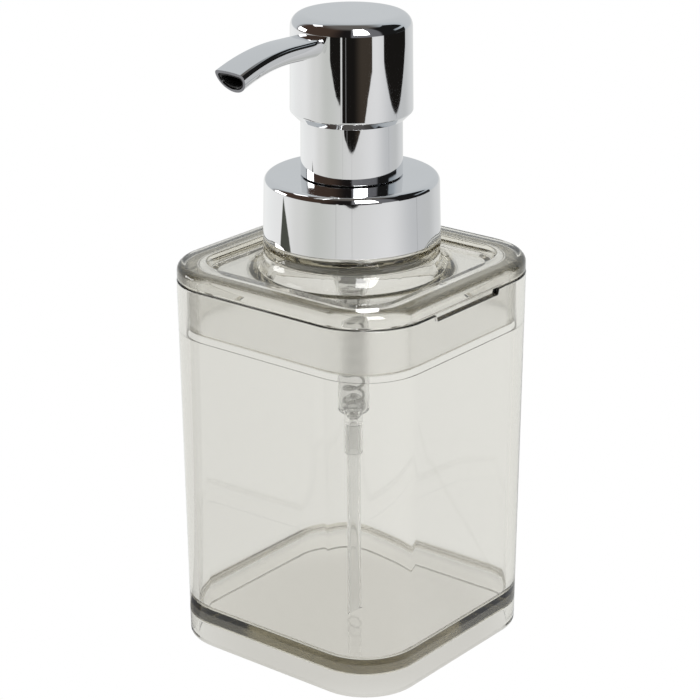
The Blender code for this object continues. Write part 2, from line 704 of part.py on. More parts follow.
def build_head_core():
    """The inner actuator: a socket on the stem, a cross plate under the top and a duct to the spout."""
    plate = HEAD_TOP - HEAD_WALL - GAP - 0.0002
    socket = STEM_RADIUS + 0.0002
    outline = [(0.0, CORE_BOTTOM), (CORE_RADIUS, CORE_BOTTOM), (CORE_RADIUS, plate), (0.0, plate)]
    core = place("head_core", turned(outline, SMALL_STEPS), WHITE)
    inset = SPOUT_WALL + GAP
    combine(core, helper("core_duct", skin(spout_sections(0.0, DUCT_END, inset, 2))), "UNION")
    below = CORE_BOTTOM - 0.0010
    stop = STEM_TOP + 0.0002
    bore = [(0.0, below), (socket, below), (socket, stop), (STEM_BORE, stop)]
    bore += [(STEM_BORE, CORE_BORE_TOP), (0.0, CORE_BORE_TOP)]
    combine(core, helper("core_bore", turned(bore, SMALL_STEPS)), "DIFFERENCE")
    channel = spout_sections(0.0, DUCT_END + 0.0010, inset + 0.0006, 2)
    combine(core, helper("core_channel", skin(channel)), "DIFFERENCE")
    for part in (core, *(modifier.object for modifier in core.modifiers)):
        turn_head(part)
    return core


def build_spout_liner():
    inset = SPOUT_WALL + 0.00015
    end = SPOUT_REACH - 0.0003
    outer = spout_sections(LINER_START, end, inset, 12)
    inner = spout_sections(LINER_START, end, inset + LINER_WALL, 12)
    liner = place("spout_liner", closed_tube(outer, inner), BLACK)
    turn_head(liner)
    return liner


def main():
    clear_scene()
    add_stand()
    build_bottle()
    build_lid()
    build_closure_nut()
    build_collar_shell()
    build_neck_sleeve()
    build_neck_gasket()
    build_pump_housing()
    build_chaplet()
    build_stem_seal()
    build_spring_seat()
    build_inlet_ball()
    build_main_spring()
    build_piston_core()
    build_piston()
    build_stem()
    build_dip_tube()
    build_head_shell()
    build_head_core()
    build_spout_liner()


main()
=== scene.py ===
"""The looks of the soap pump dispenser: smoke-tinted clear plastic, chrome and the moulded pump.

Metres, +Z up. Every piece is made at fine resolution in the place of its node in the frame and
rides on the body of that node. Pieces are modelled around the dispenser's upright axis.
"""

import math

import bmesh
import bpy
from mathutils import Matrix, Vector


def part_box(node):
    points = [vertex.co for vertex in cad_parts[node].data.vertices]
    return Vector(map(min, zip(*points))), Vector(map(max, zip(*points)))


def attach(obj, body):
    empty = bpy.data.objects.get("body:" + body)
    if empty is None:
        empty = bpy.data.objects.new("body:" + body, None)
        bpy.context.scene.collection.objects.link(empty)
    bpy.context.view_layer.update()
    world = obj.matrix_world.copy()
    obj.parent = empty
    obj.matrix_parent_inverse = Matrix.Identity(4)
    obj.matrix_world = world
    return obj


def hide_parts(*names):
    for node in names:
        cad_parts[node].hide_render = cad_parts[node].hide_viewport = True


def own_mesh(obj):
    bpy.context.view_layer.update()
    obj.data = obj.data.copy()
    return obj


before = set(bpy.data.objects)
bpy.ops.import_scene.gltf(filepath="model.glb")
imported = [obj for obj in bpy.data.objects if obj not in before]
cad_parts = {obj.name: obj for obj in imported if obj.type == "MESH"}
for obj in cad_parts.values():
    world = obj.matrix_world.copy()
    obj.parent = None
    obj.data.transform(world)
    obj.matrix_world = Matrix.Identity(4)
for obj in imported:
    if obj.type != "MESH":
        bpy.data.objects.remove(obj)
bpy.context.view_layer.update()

# ---------------------------------------------------------------- sizes from the frame
bottle_low, bottle_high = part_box("bottle")
lid_low, lid_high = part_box("lid")
collar_low, collar_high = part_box("collar_shell")
sleeve_low, sleeve_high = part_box("neck_sleeve")
gasket_low, gasket_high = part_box("neck_gasket")
housing_low, housing_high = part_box("pump_housing")
stem_low, stem_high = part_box("stem")
piston_low, piston_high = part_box("piston")
ball_low, ball_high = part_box("inlet_ball")
tube_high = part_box("dip_tube")[1]
head_low, head_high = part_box("head_shell")

AXIS = Vector((0.0, (sleeve_low.y + sleeve_high.y) / 2.0, 0.0))
GAP = 0.0003              # clearance between touching pieces

# tumbler
BOTTLE_WIDTH = bottle_high.x - bottle_low.x
BASE_WIDTH = 0.0674
RIM_HEIGHT = bottle_high.z
RIM_RADIUS = 0.0165
BASE_RADIUS = 0.0146
WALL = 0.0023
FOOT_DEPTH = 0.0060
FLOOR_TOP = 0.0094
LEDGE_HEIGHT = 0.0814
LEDGE_STEP = 0.0005
NOTCH_HALF = 0.0120
NOTCH_SIDE = 0.00047      # how far each sloping side of the notch reaches beyond its floor
NOTCH_DEPTH = 0.0014

# lid
LID_WIDTH = lid_high.x - lid_low.x
LID_BOTTOM = RIM_HEIGHT + GAP
LID_TOP = 0.0985
LID_EDGE_ROUND = 0.0019
LID_FRAME = 0.0072
LID_RECESS = 0.0020
LID_SLOPE = 0.0012
LID_PLATE = 0.0020        # thickness of the lid's border and of its recessed panel
LID_STEP_WALL = 0.0014    # thickness of the slope between them
LID_UNDERSIDE = LID_TOP - LID_RECESS - LID_PLATE
SKIRT_BOTTOM = lid_low.z
SKIRT_WALL = 0.0026
BOSS_DISC_RADIUS = 0.0215
BOSS_DISC_BOTTOM = 0.1022
BOSS_DISC_TOP = 0.1041
BOSS_FLARE_RADIUS = 0.0262
HOLLOW_RADIUS = 0.0212
NECK_RADIUS = 0.0150
NECK_BORE = 0.0120
NECK_TOP = lid_high.z
THREAD_PITCH = 0.0040
THREAD_HEIGHT = 0.0010
THREAD_TURNS = 1.25
THREAD_BOTTOM = BOSS_DISC_TOP + 0.0022

# closure
COLLAR_RADIUS_BOTTOM = (collar_high.x - collar_low.x) / 2.0
COLLAR_RADIUS_TOP = 0.0211
COLLAR_BOTTOM = collar_low.z
COLLAR_TOP = collar_high.z
COLLAR_WALL = 0.0011
COLLAR_DOME = 0.00012     # how far the collar's top falls towards its edge
NUT_OUTER = 0.0196
NUT_BORE = NECK_RADIUS + THREAD_HEIGHT + GAP
SLEEVE_RADIUS = (sleeve_high.x - sleeve_low.x) / 2.0
SLEEVE_WALL = 0.0010
SLEEVE_DRAFT = 0.00014    # how much narrower the sleeve is at its top

# pump
FLANGE_RADIUS = (housing_high.x - housing_low.x) / 2.0
FLANGE_TOP = housing_high.z
FLANGE_BOTTOM = FLANGE_TOP - 0.0014
SOCKET_RADIUS = 0.0086
SOCKET_BOTTOM = 0.1030
HOUSING_RADIUS = 0.00435
HOUSING_BORE = 0.00365
HOUSING_BOTTOM = 0.0590
NIPPLE_RADIUS = 0.0026
NIPPLE_BOTTOM = housing_low.z
TUBE_RADIUS = 0.0019
TUBE_BORE = 0.0013
TUBE_TOP = tube_high.z
TUBE_FOOT = Vector((0.0098, -0.0118, FLOOR_TOP + 0.0016))     # the middle of its slanted end
TUBE_CUT = 0.5            # slope of that end
SPRING_BOTTOM = 0.0610
SPRING_TOP = 0.0850
SPRING_RADIUS = 0.0028
SPRING_WIRE = 0.0004
SPRING_TURNS = 8.0
STEM_RADIUS = (stem_high.x - stem_low.x) / 2.0
STEM_BORE = 0.0014

# head
HEAD_TURN = math.radians(-4.0)
HEAD_RADIUS_BOTTOM = 0.0147
HEAD_RADIUS_TOP = 0.0144
HEAD_CHAMFER = 0.0018
HEAD_EDGE_ROUND = 0.0032
HEAD_CROWN = 0.0003
HEAD_WALL = 0.0012
SPOUT_REACH = 0.0405
SPOUT_ROOT_TOP = 0.1552
SPOUT_STRAIGHT = 0.0220
SPOUT_CURVE = 10.8
SPOUT_HALF_ROOT = 0.0041
SPOUT_HALF_MOUTH = 0.0046
SPOUT_DEPTH_ROOT = 0.0050
SPOUT_DEPTH_MOUTH = 0.0053
SPOUT_WALL = 0.0007
LINER_WALL = 0.0005

# fineness
ROUND_STEPS = 192
SMALL_STEPS = 64
ARC_STEPS = 8             # steps in each softened corner of an outline
CORNER_STEPS = 18         # steps round each corner of the square pieces
FLAT_MARKS = (-0.0150, -NOTCH_HALF - NOTCH_SIDE, -NOTCH_HALF, -0.0080, -0.0040, 0.0)
FLAT_MARKS += tuple(-mark for mark in reversed(FLAT_MARKS[:-1]))

# the camera, and the studio's directions as seen from the dispenser
CAMERA_AZIMUTH = math.radians(38.726)
CAMERA_ELEVATION = math.radians(20.326)
CAMERA_DISTANCE = 0.57945
CAMERA_TARGET = AXIS + Vector((0.0, 0.0, 0.07574))
CAMERA_YAW = 0.001
CAMERA_PITCH = math.radians(-0.139)
CAMERA_ROLL = math.radians(0.178)
CAMERA_LENS = 121.1
CAMERA_SENSOR = 36.0
FRONT = Vector((math.sin(CAMERA_AZIMUTH), -math.cos(CAMERA_AZIMUTH), 0.0))
SIDE = Vector((math.cos(CAMERA_AZIMUTH), math.sin(CAMERA_AZIMUTH), 0.0))


# ---------------------------------------------------------------- mesh helpers
def soften(corners, closed=False):
    """Points of an outline of (across, height, radius) corners, each one rounded by its radius."""
    points = []
    count = len(corners)
    for index, (across, height, radius) in enumerate(corners):
        corner = Vector((across, height))
        if radius <= 0.0 or (not closed and index in (0, count - 1)):
            points.append(corner)
            continue
        before = (Vector(corners[index - 1][:2]) - corner).normalized()
        after = (Vector(corners[(index + 1) % count][:2]) - corner).normalized()
        half_angle = before.angle(after) / 2.0
        centre = corner + (before + after).normalized() * radius / math.sin(half_angle)
        start = corner + before * radius / math.tan(half_angle) - centre
        end = corner + after * radius / math.tan(half_angle) - centre
        first = math.atan2(start.y, start.x)
        sweep = (math.atan2(end.y, end.x) - first + math.pi) % (2.0 * math.pi) - math.pi
        for step in range(ARC_STEPS + 1):
            angle = first + sweep * step / ARC_STEPS
            points.append(centre + radius * Vector((math.cos(angle), math.sin(angle))))
    return points


def join_rings(made, rings, closed):
    pairs = list(zip(rings, rings[1:]))
    if closed:
        pairs.append((rings[-1], rings[0]))
    for lower, upper in pairs:
        count = max(len(lower), len(upper))
        for step in range(count):
            following = (step + 1) % count
            if len(lower) == 1:
                made.faces.new((lower[0], upper[step], upper[following]))
            elif len(upper) == 1:
                made.faces.new((lower[step], upper[0], lower[following]))
            else:
                made.faces.new((lower[step], lower[following], upper[following], upper[step]))
    return made


def turned(outline, steps=ROUND_STEPS):
    """Turn an outline about Z. It starts and ends on the axis, or it is a loop."""
    made = bmesh.new()
    rings = []
    for radius, height in outline:
        if radius < 1e-7:
            rings.append([made.verts.new((0.0, 0.0, height))])
            continue
        angles = (2.0 * math.pi * step / steps for step in range(steps))
        rings.append([made.verts.new((radius * math.cos(a), radius * math.sin(a), height)) for a in angles])
    return join_rings(made, rings, closed=len(rings[0]) > 1)


def skin(loops, closed=False):
    """Join loops of equal length in order. Unless closed, the first and the last are capped."""
    made = bmesh.new()
    rings = [[made.verts.new(point) for point in loop] for loop in loops]
    join_rings(made, rings, closed)
    if not closed:
        made.faces.new(rings[0])
        made.faces.new(rings[-1])
    return made


def square_loop(half, radius, height):
    """A rounded square, with the same points along each flat at every size."""
    centre = half - radius
    points = []
    for corner in range(4):
        middle = math.pi * (0.25 + 0.5 * corner)
        x = math.copysign(centre, math.cos(middle))
        y = math.copysign(centre, math.sin(middle))
        for step in range(CORNER_STEPS + 1):
            angle = middle - math.pi / 4.0 + math.pi / 2.0 * step / CORNER_STEPS
            points.append(Vector((x + radius * math.cos(angle), y + radius * math.sin(angle), height)))
        outward = middle + math.pi / 4.0
        normal = Vector((math.cos(outward), math.sin(outward), 0.0))
        along = Vector((-normal.y, normal.x, 0.0))
        for mark in FLAT_MARKS:
            points.append(normal * half + along * mark + Vector((0.0, 0.0, height)))
    return points


def circle_loop(radius, height):
    """A circle whose points have the bearings of the lid's square loops."""
    loop = square_loop(LID_WIDTH / 2.0, RIM_RADIUS, height)
    return [Vector((p.x, p.y, 0.0)).normalized() * radius + Vector((0.0, 0.0, height)) for p in loop]


def new_object(name, mesh_data):
    bmesh.ops.recalc_face_normals(mesh_data, faces=mesh_data.faces)
    mesh = bpy.data.meshes.new(name)
    mesh_data.to_mesh(mesh)
    mesh_data.free()
    made = bpy.data.objects.new(name, mesh)
    bpy.context.scene.collection.objects.link(made)
    return made


def combine(target, tool_data, operation):
    """Apply a Boolean with a tool that is used once."""
    tool = new_object("tool", tool_data)
    boolean = target.modifiers.new("cut", "BOOLEAN")
    boolean.operation = operation
    boolean.object = tool
    bpy.context.view_layer.update()
    graph = bpy.context.evaluated_depsgraph_get()
    result = bpy.data.meshes.new_from_object(target.evaluated_get(graph))
    target.modifiers.clear()
    target.data = result
    bpy.data.objects.remove(tool)


def finish_piece(piece, body, node, look, weighted=True):
    """Move a piece from the axis to its place, shade it, tie it to its body and hide its node."""
    piece.data.transform(Matrix.Translation(AXIS))
    piece.data.shade_smooth()
    piece.data.set_sharp_from_angle(angle=math.radians(32.0))
    piece.data.materials.clear()
    piece.data.materials.append(look)
    if weighted:
        normals = piece.modifiers.new("normals", "WEIGHTED_NORMAL")
        normals.mode = "FACE_AREA"
        normals.weight = 100
        normals.keep_sharp = True
    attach(piece, body)
    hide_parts(node)
    return piece


def helix_ridge(wall, height, base_width, tip_width, start_angle):
    steps = int(72 * THREAD_TURNS)
    root = wall - math.copysign(0.0003, height)
    loops = []
    for step in range(steps + 1):
        turn = THREAD_TURNS * step / steps
        angle = start_angle + 2.0 * math.pi * turn
        middle = THREAD_BOTTOM + THREAD_PITCH * turn
        fade = min(1.0, 6.0 * min(step, steps - step) / steps + 0.05)
        tip = wall + height * fade
        corners = ((root, -base_width), (tip, -tip_width), (tip, tip_width), (root, base_width))
        section = []
        for radius, width in corners:
            section.append(Vector((radius * math.cos(angle), radius * math.sin(angle), middle + width / 2.0)))
        loops.append(section)
    return skin(loops)


# ---------------------------------------------------------------- material helpers
MATT_TINT = (0.86, 0.83, 0.72)      # of the unpolished edge of the tumbler's floor


class Graph:
    """Short names for the shader nodes used here. Each call returns an output socket."""

    def __init__(self, tree):
        self.tree = tree

    def put(self, socket, value):
        if isinstance(value, bpy.types.NodeSocket):
            self.tree.links.new(value, socket)
        else:
            socket.default_value = value

    def math(self, operation, first, second=0.0):
        node = self.tree.nodes.new("ShaderNodeMath")
        node.operation = operation
        self.put(node.inputs[0], first)
        self.put(node.inputs[1], second)
        return node.outputs[0]

    def multiply_add(self, value, factor, addend):
        node = self.tree.nodes.new("ShaderNodeMath")
        node.operation = "MULTIPLY_ADD"
        for socket, number in zip(node.inputs, (value, factor, addend)):
            self.put(socket, number)
        return node.outputs[0]

    def dot(self, vector, direction):
        node = self.tree.nodes.new("ShaderNodeVectorMath")
        node.operation = "DOT_PRODUCT"
        self.put(node.inputs[0], vector)
        self.put(node.inputs[1], tuple(direction))
        return node.outputs["Value"]

    def ramp(self, value, low, high, smooth=True):
        """0 at low, 1 at high. Low may be above high."""
        node = self.tree.nodes.new("ShaderNodeMapRange")
        node.interpolation_type = "SMOOTHSTEP" if smooth else "LINEAR"
        self.put(node.inputs["Value"], value)
        self.put(node.inputs["From Min"], low)
        self.put(node.inputs["From Max"], high)
        return node.outputs["Result"]

    def band(self, value, low, high, soft):
        """1 between low and high, 0 beyond, with soft edges."""
        rise = self.ramp(value, low - soft, low + soft)
        fall = self.ramp(value, high + soft, high - soft)
        return self.math("MULTIPLY", rise, fall)

    def mix(self, factor, first, second):
        node = self.tree.nodes.new("ShaderNodeMix")
        node.data_type = "RGBA"
        self.put(node.inputs["Factor"], factor)
        self.put(node.inputs["A"], (*first, 1.0) if isinstance(first, tuple) else first)
        self.put(node.inputs["B"], (*second, 1.0) if isinstance(second, tuple) else second)
        return node.outputs["Result"]

    def noise(self, scale, detail=2.0, stretch=(1.0, 1.0, 1.0)):
        where = self.tree.nodes.new("ShaderNodeTexCoord")
        mapping = self.tree.nodes.new("ShaderNodeMapping")
        mapping.inputs["Scale"].default_value = stretch
        node = self.tree.nodes.new("ShaderNodeTexNoise")
        node.inputs["Scale"].default_value = scale
        node.inputs["Detail"].default_value = detail
        self.tree.links.new(where.outputs["Object"], mapping.inputs["Vector"])
        self.tree.links.new(mapping.outputs["Vector"], node.inputs["Vector"])
        return node.outputs["Fac"]

    def bump(self, height, strength, distance):
        node = self.tree.nodes.new("ShaderNodeBump")
        node.inputs["Strength"].default_value = strength
        node.inputs["Distance"].default_value = distance
        self.put(node.inputs["Height"], height)
        return node.outputs["Normal"]


def new_look(name):
    look = bpy.data.materials.new(name)
    look.use_nodes = True
    shader = look.node_tree.nodes["Principled BSDF"]
    return look, shader, Graph(look.node_tree)


def smoke_look(name, density, haze, lowest, highest, matt=0.0):
    """Clear injection-moulded plastic with a warm grey tint, which deepens with thickness.

    Haze is the extra roughness between two heights: of the skirt, which the tumbler scuffs, and of
    the edge of the tumbler's floor, which hasn't been polished. Matt is the share of light that is
    scattered there.
    """
    look, shader, graph = new_look(name)
    shader.inputs["Base Color"].default_value = (1.0, 1.0, 1.0, 1.0)
    shader.inputs["Transmission Weight"].default_value = 1.0
    shader.inputs["IOR"].default_value = 1.57
    streaks = graph.noise(90.0, 3.0, (1.0, 1.0, 0.35))
    gloss = graph.ramp(streaks, 0.2, 30.0, smooth=False)
    where = look.node_tree.nodes.new("ShaderNodeTexCoord").outputs["Object"]
    scuffed = graph.band(graph.dot(where, (0.0, 0.0, 1.0)), lowest, highest, 0.0002)
    if matt > 0.0:
        graph.put(shader.inputs["Base Color"], graph.mix(scuffed, (1.0, 1.0, 1.0), MATT_TINT))
        clear = graph.math("SUBTRACT", 1.0, graph.math("MULTIPLY", scuffed, matt))
        graph.put(shader.inputs["Transmission Weight"], clear)
    gloss = graph.math("ADD", gloss, graph.math("MULTIPLY", scuffed, haze))
    graph.put(shader.inputs["Roughness"], gloss)
    flow = graph.noise(38.0, 1.0, (1.0, 1.0, 0.4))
    graph.put(shader.inputs["Normal"], graph.bump(flow, 0.03, 0.0002))
    volume = look.node_tree.nodes.new("ShaderNodeVolumeAbsorption")
    volume.inputs["Color"].default_value = (0.620, 0.590, 0.485, 1.0)
    volume.inputs["Density"].default_value = density
    output = look.node_tree.nodes["Material Output"]
    look.node_tree.links.new(volume.outputs["Volume"], output.inputs["Volume"])
    return look


def chrome_look():
    """Bright chrome plating on a moulded part, with the faintest orange peel."""
    look, shader, graph = new_look("chrome_look")
    shader.inputs["Metallic"].default_value = 1.0
    clouds = graph.noise(55.0, 3.0)
    colour = graph.mix(clouds, (0.77, 0.775, 0.785), (0.83, 0.835, 0.845))
    graph.put(shader.inputs["Base Color"], colour)
    graph.put(shader.inputs["Roughness"], graph.ramp(clouds, 0.1, 14.0, smooth=False))
    peel = graph.noise(160.0, 2.0)
    graph.put(shader.inputs["Normal"], graph.bump(peel, 0.05, 0.00008))
    return look


def plastic_look(name, colour, roughness, depth=0.10, grain=0.15):
    """Opaque moulded plastic; depth is how far its tone wanders."""
    look, shader, graph = new_look(name)
    darker = tuple(channel * (1.0 - depth) for channel in colour)
    tone = graph.noise(120.0, 3.0)
    graph.put(shader.inputs["Base Color"], graph.mix(tone, darker, colour))
    graph.put(shader.inputs["Roughness"], graph.math("MULTIPLY", tone, 2.0 * roughness))
    fine = graph.noise(600.0, 2.0)
    graph.put(shader.inputs["Normal"], graph.bump(fine, grain, 0.00004))
    return look


def natural_look():
    """Clear natural polypropylene, with the slight haze of a thin moulding."""
    look = plastic_look("natural_plastic_look", (1.0, 1.0, 0.995), 0.05, depth=0.006, grain=0.03)
    shader = look.node_tree.nodes["Principled BSDF"]
    shader.inputs["Transmission Weight"].default_value = 0.90
    shader.inputs["IOR"].default_value = 1.40
    return look


def foam_look():
    """Closed-cell foam with a pitted face."""
    look, shader, graph = new_look("foam_look")
    cells = look.node_tree.nodes.new("ShaderNodeTexVoronoi")
    cells.inputs["Scale"].default_value = 2600.0
    pits = cells.outputs["Distance"]
    # The pits are painted darker than the cell walls round them: painted shade in the pits, on top of the
    # bump that sinks them.
    graph.put(shader.inputs["Base Color"], graph.mix(pits, (0.66, 0.66, 0.63), (0.88, 0.88, 0.86)))
    shader.inputs["Roughness"].default_value = 0.85
    graph.put(shader.inputs["Normal"], graph.bump(pits, 0.5, 0.0002))
    return look


def steel_look():
    """Drawn stainless wire, with scratches along its length."""
    look, shader, graph = new_look("steel_look")
    scratches = graph.noise(900.0, 3.0, (1.0, 1.0, 0.1))
    graph.put(shader.inputs["Base Color"], graph.mix(scratches, (0.36, 0.355, 0.34), (0.52, 0.515, 0.50)))
    shader.inputs["Metallic"].default_value = 1.0
    graph.put(shader.inputs["Roughness"], graph.ramp(scratches, -0.6, 3.4, smooth=False))
    return look


# ---------------------------------------------------------------- tumbler
def build_tumbler(look):
    thin = WALL - LEDGE_STEP
    foot_inner = WALL - 0.0003
    rim_round = 0.0003
    corners = [(WALL + 0.0030, FOOT_DEPTH, 0.0), (foot_inner, FOOT_DEPTH, 0.0008), (foot_inner, 0.0, 0.0003)]
    corners += [(0.0, 0.0, 0.0009), (0.0, RIM_HEIGHT, rim_round), (thin, RIM_HEIGHT, 0.0003)]
    corners += [(thin, LEDGE_HEIGHT, 0.00008), (WALL, LEDGE_HEIGHT - 0.0001, 0.00008)]
    corners += [(WALL, FLOOR_TOP, 0.0016), (WALL + 0.0040, FLOOR_TOP, 0.0)]
    loops = []
    for inset, height in soften(corners):
        part = height / RIM_HEIGHT
        half = (BASE_WIDTH + (BOTTLE_WIDTH - BASE_WIDTH) * part) / 2.0
        radius = BASE_RADIUS + (RIM_RADIUS - BASE_RADIUS) * part
        loop = square_loop(half - inset, radius - inset, height)
        if height > RIM_HEIGHT - 1.1 * rim_round:
            for point in loop:
                if point.x > half - 2.0 * thin and abs(point.y) < NOTCH_HALF + 1e-5:
                    point.z -= NOTCH_DEPTH
        loops.append(loop)
    tumbler = new_object("tumbler_clear", skin(loops))
    return finish_piece(tumbler, "tumbler", "bottle", look)


# ---------------------------------------------------------------- lid
def build_lid(look):
    """One skin that runs from the recess over the edge, down the skirt and up through the neck."""
    half = LID_WIDTH / 2.0
    corner = RIM_RADIUS - (BOTTLE_WIDTH - LID_WIDTH) / 2.0
    recess = LID_TOP - LID_RECESS
    skirt = half - (BOTTLE_WIDTH / 2.0 - (WALL - LEDGE_STEP) - GAP - 0.0003)
    inner = skirt + SKIRT_WALL
    square = [(LID_FRAME + LID_SLOPE + 0.0020, recess, 0.0), (LID_FRAME + LID_SLOPE, recess, 0.0004)]
    square += [(LID_FRAME, LID_TOP, 0.0005), (0.0, LID_TOP, LID_EDGE_ROUND), (0.0, LID_BOTTOM, 0.0002)]
    square += [(skirt, LID_BOTTOM, 0.0002), (skirt, SKIRT_BOTTOM, 0.0006), (inner, SKIRT_BOTTOM, 0.0003)]
    step_in = LID_FRAME + LID_STEP_WALL
    square += [(inner, LID_TOP - LID_PLATE, 0.0008), (step_in, LID_TOP - LID_PLATE, 0.0004)]
    square.append((step_in + LID_SLOPE, LID_UNDERSIDE, 0.0006))
    square.append((step_in + LID_SLOPE + 0.0010, LID_UNDERSIDE, 0.0))
    loops = [square_loop(half - inset, corner - inset, height) for inset, height in soften(square)]
    round_part = [(HOLLOW_RADIUS + 0.0020, LID_UNDERSIDE, 0.0), (HOLLOW_RADIUS, LID_UNDERSIDE, 0.0004)]
    round_part += [(0.0198, 0.0972, 0.0020), (0.0186, 0.0997, 0.0020), (0.0160, 0.1014, 0.0020)]
    round_part += [(NECK_BORE + 0.0010, 0.1022, 0.0010), (NECK_BORE, 0.1034, 0.0006)]
    round_part += [(NECK_BORE, NECK_TOP, 0.0003), (NECK_RADIUS, NECK_TOP, 0.0005)]
    round_part.append((NECK_RADIUS, BOSS_DISC_TOP, 0.0003))
    round_part += [(BOSS_DISC_RADIUS, BOSS_DISC_TOP, 0.0004), (BOSS_DISC_RADIUS, BOSS_DISC_BOTTOM, 0.0)]
    outline = soften(round_part)
    waist = BOSS_DISC_RADIUS - 0.0002
    flare_steps = 14
    for step in range(flare_steps + 1):
        angle = math.pi / 2.0 * (1.0 - step / flare_steps)
        radius = BOSS_FLARE_RADIUS - (BOSS_FLARE_RADIUS - waist) * math.sin(angle)
        outline.append(Vector((radius, BOSS_DISC_BOTTOM - (BOSS_DISC_BOTTOM - recess) * math.cos(angle))))
    loops += [circle_loop(radius, height) for radius, height in outline]
    lid = new_object("lid_clear", skin(loops, closed=True))
    combine(lid, helix_ridge(NECK_RADIUS, THREAD_HEIGHT, 0.0016, 0.0007, 0.0), "UNION")
    return finish_piece(lid, "lid", "lid", look)


# ---------------------------------------------------------------- closure
def build_closure(chrome, white):
    bottom = COLLAR_BOTTOM + 0.0006
    shoulder = FLANGE_TOP + GAP
    top = COLLAR_TOP - COLLAR_WALL - GAP
    opening = SLEEVE_RADIUS - SLEEVE_WALL - 0.0008
    corners = [(NUT_BORE, bottom, 0.0003), (NUT_OUTER, bottom, 0.0003), (NUT_OUTER, top, 0.0004)]
    corners += [(opening, top, 0.0003), (opening, shoulder, 0.0003), (NUT_BORE, shoulder, 0.0003)]
    nut = new_object("nut_moulded", turned(soften(corners, closed=True)))
    combine(nut, helix_ridge(NUT_BORE, -THREAD_HEIGHT, 0.0014, 0.0006, math.pi), "UNION")
    finish_piece(nut, "closure", "closure_nut", white)

    inner = NUT_OUTER + GAP
    hole = SLEEVE_RADIUS - SLEEVE_WALL
    corners = [(COLLAR_RADIUS_BOTTOM, COLLAR_BOTTOM, 0.0003)]
    corners.append((COLLAR_RADIUS_TOP, COLLAR_TOP - COLLAR_DOME, 0.0016))
    dome_start = COLLAR_RADIUS_TOP - 0.0022
    dome_steps = 8
    for step in range(dome_steps + 1):
        part = 1.0 - step / dome_steps
        radius = SLEEVE_RADIUS + (dome_start - SLEEVE_RADIUS) * part
        corners.append((radius, COLLAR_TOP - COLLAR_DOME * part ** 2, 0.0))
    corners += [(hole, COLLAR_TOP, 0.0002), (hole, COLLAR_TOP - COLLAR_WALL, 0.0002)]
    corners += [(inner, COLLAR_TOP - COLLAR_WALL, 0.0006), (inner, COLLAR_BOTTOM, 0.0002)]
    collar = new_object("collar_chromed", turned(soften(corners, closed=True)))
    finish_piece(collar, "closure", "collar_shell", chrome)

    bore = SLEEVE_RADIUS - SLEEVE_WALL
    corners = [(SLEEVE_RADIUS, sleeve_low.z, 0.0001), (SLEEVE_RADIUS - SLEEVE_DRAFT, sleeve_high.z, 0.0003)]
    corners += [(bore, sleeve_high.z, 0.0003), (bore, sleeve_low.z, 0.0001)]
    sleeve = new_object("sleeve_chromed", turned(soften(corners, closed=True)))
    finish_piece(sleeve, "closure", "neck_sleeve", chrome)


# ---------------------------------------------------------------- pump
def turned_piece(name, corners, body, node, look, closed=True):
    piece = new_object(name, turned(soften(corners, closed=closed), SMALL_STEPS))
    return finish_piece(piece, body, node, look)


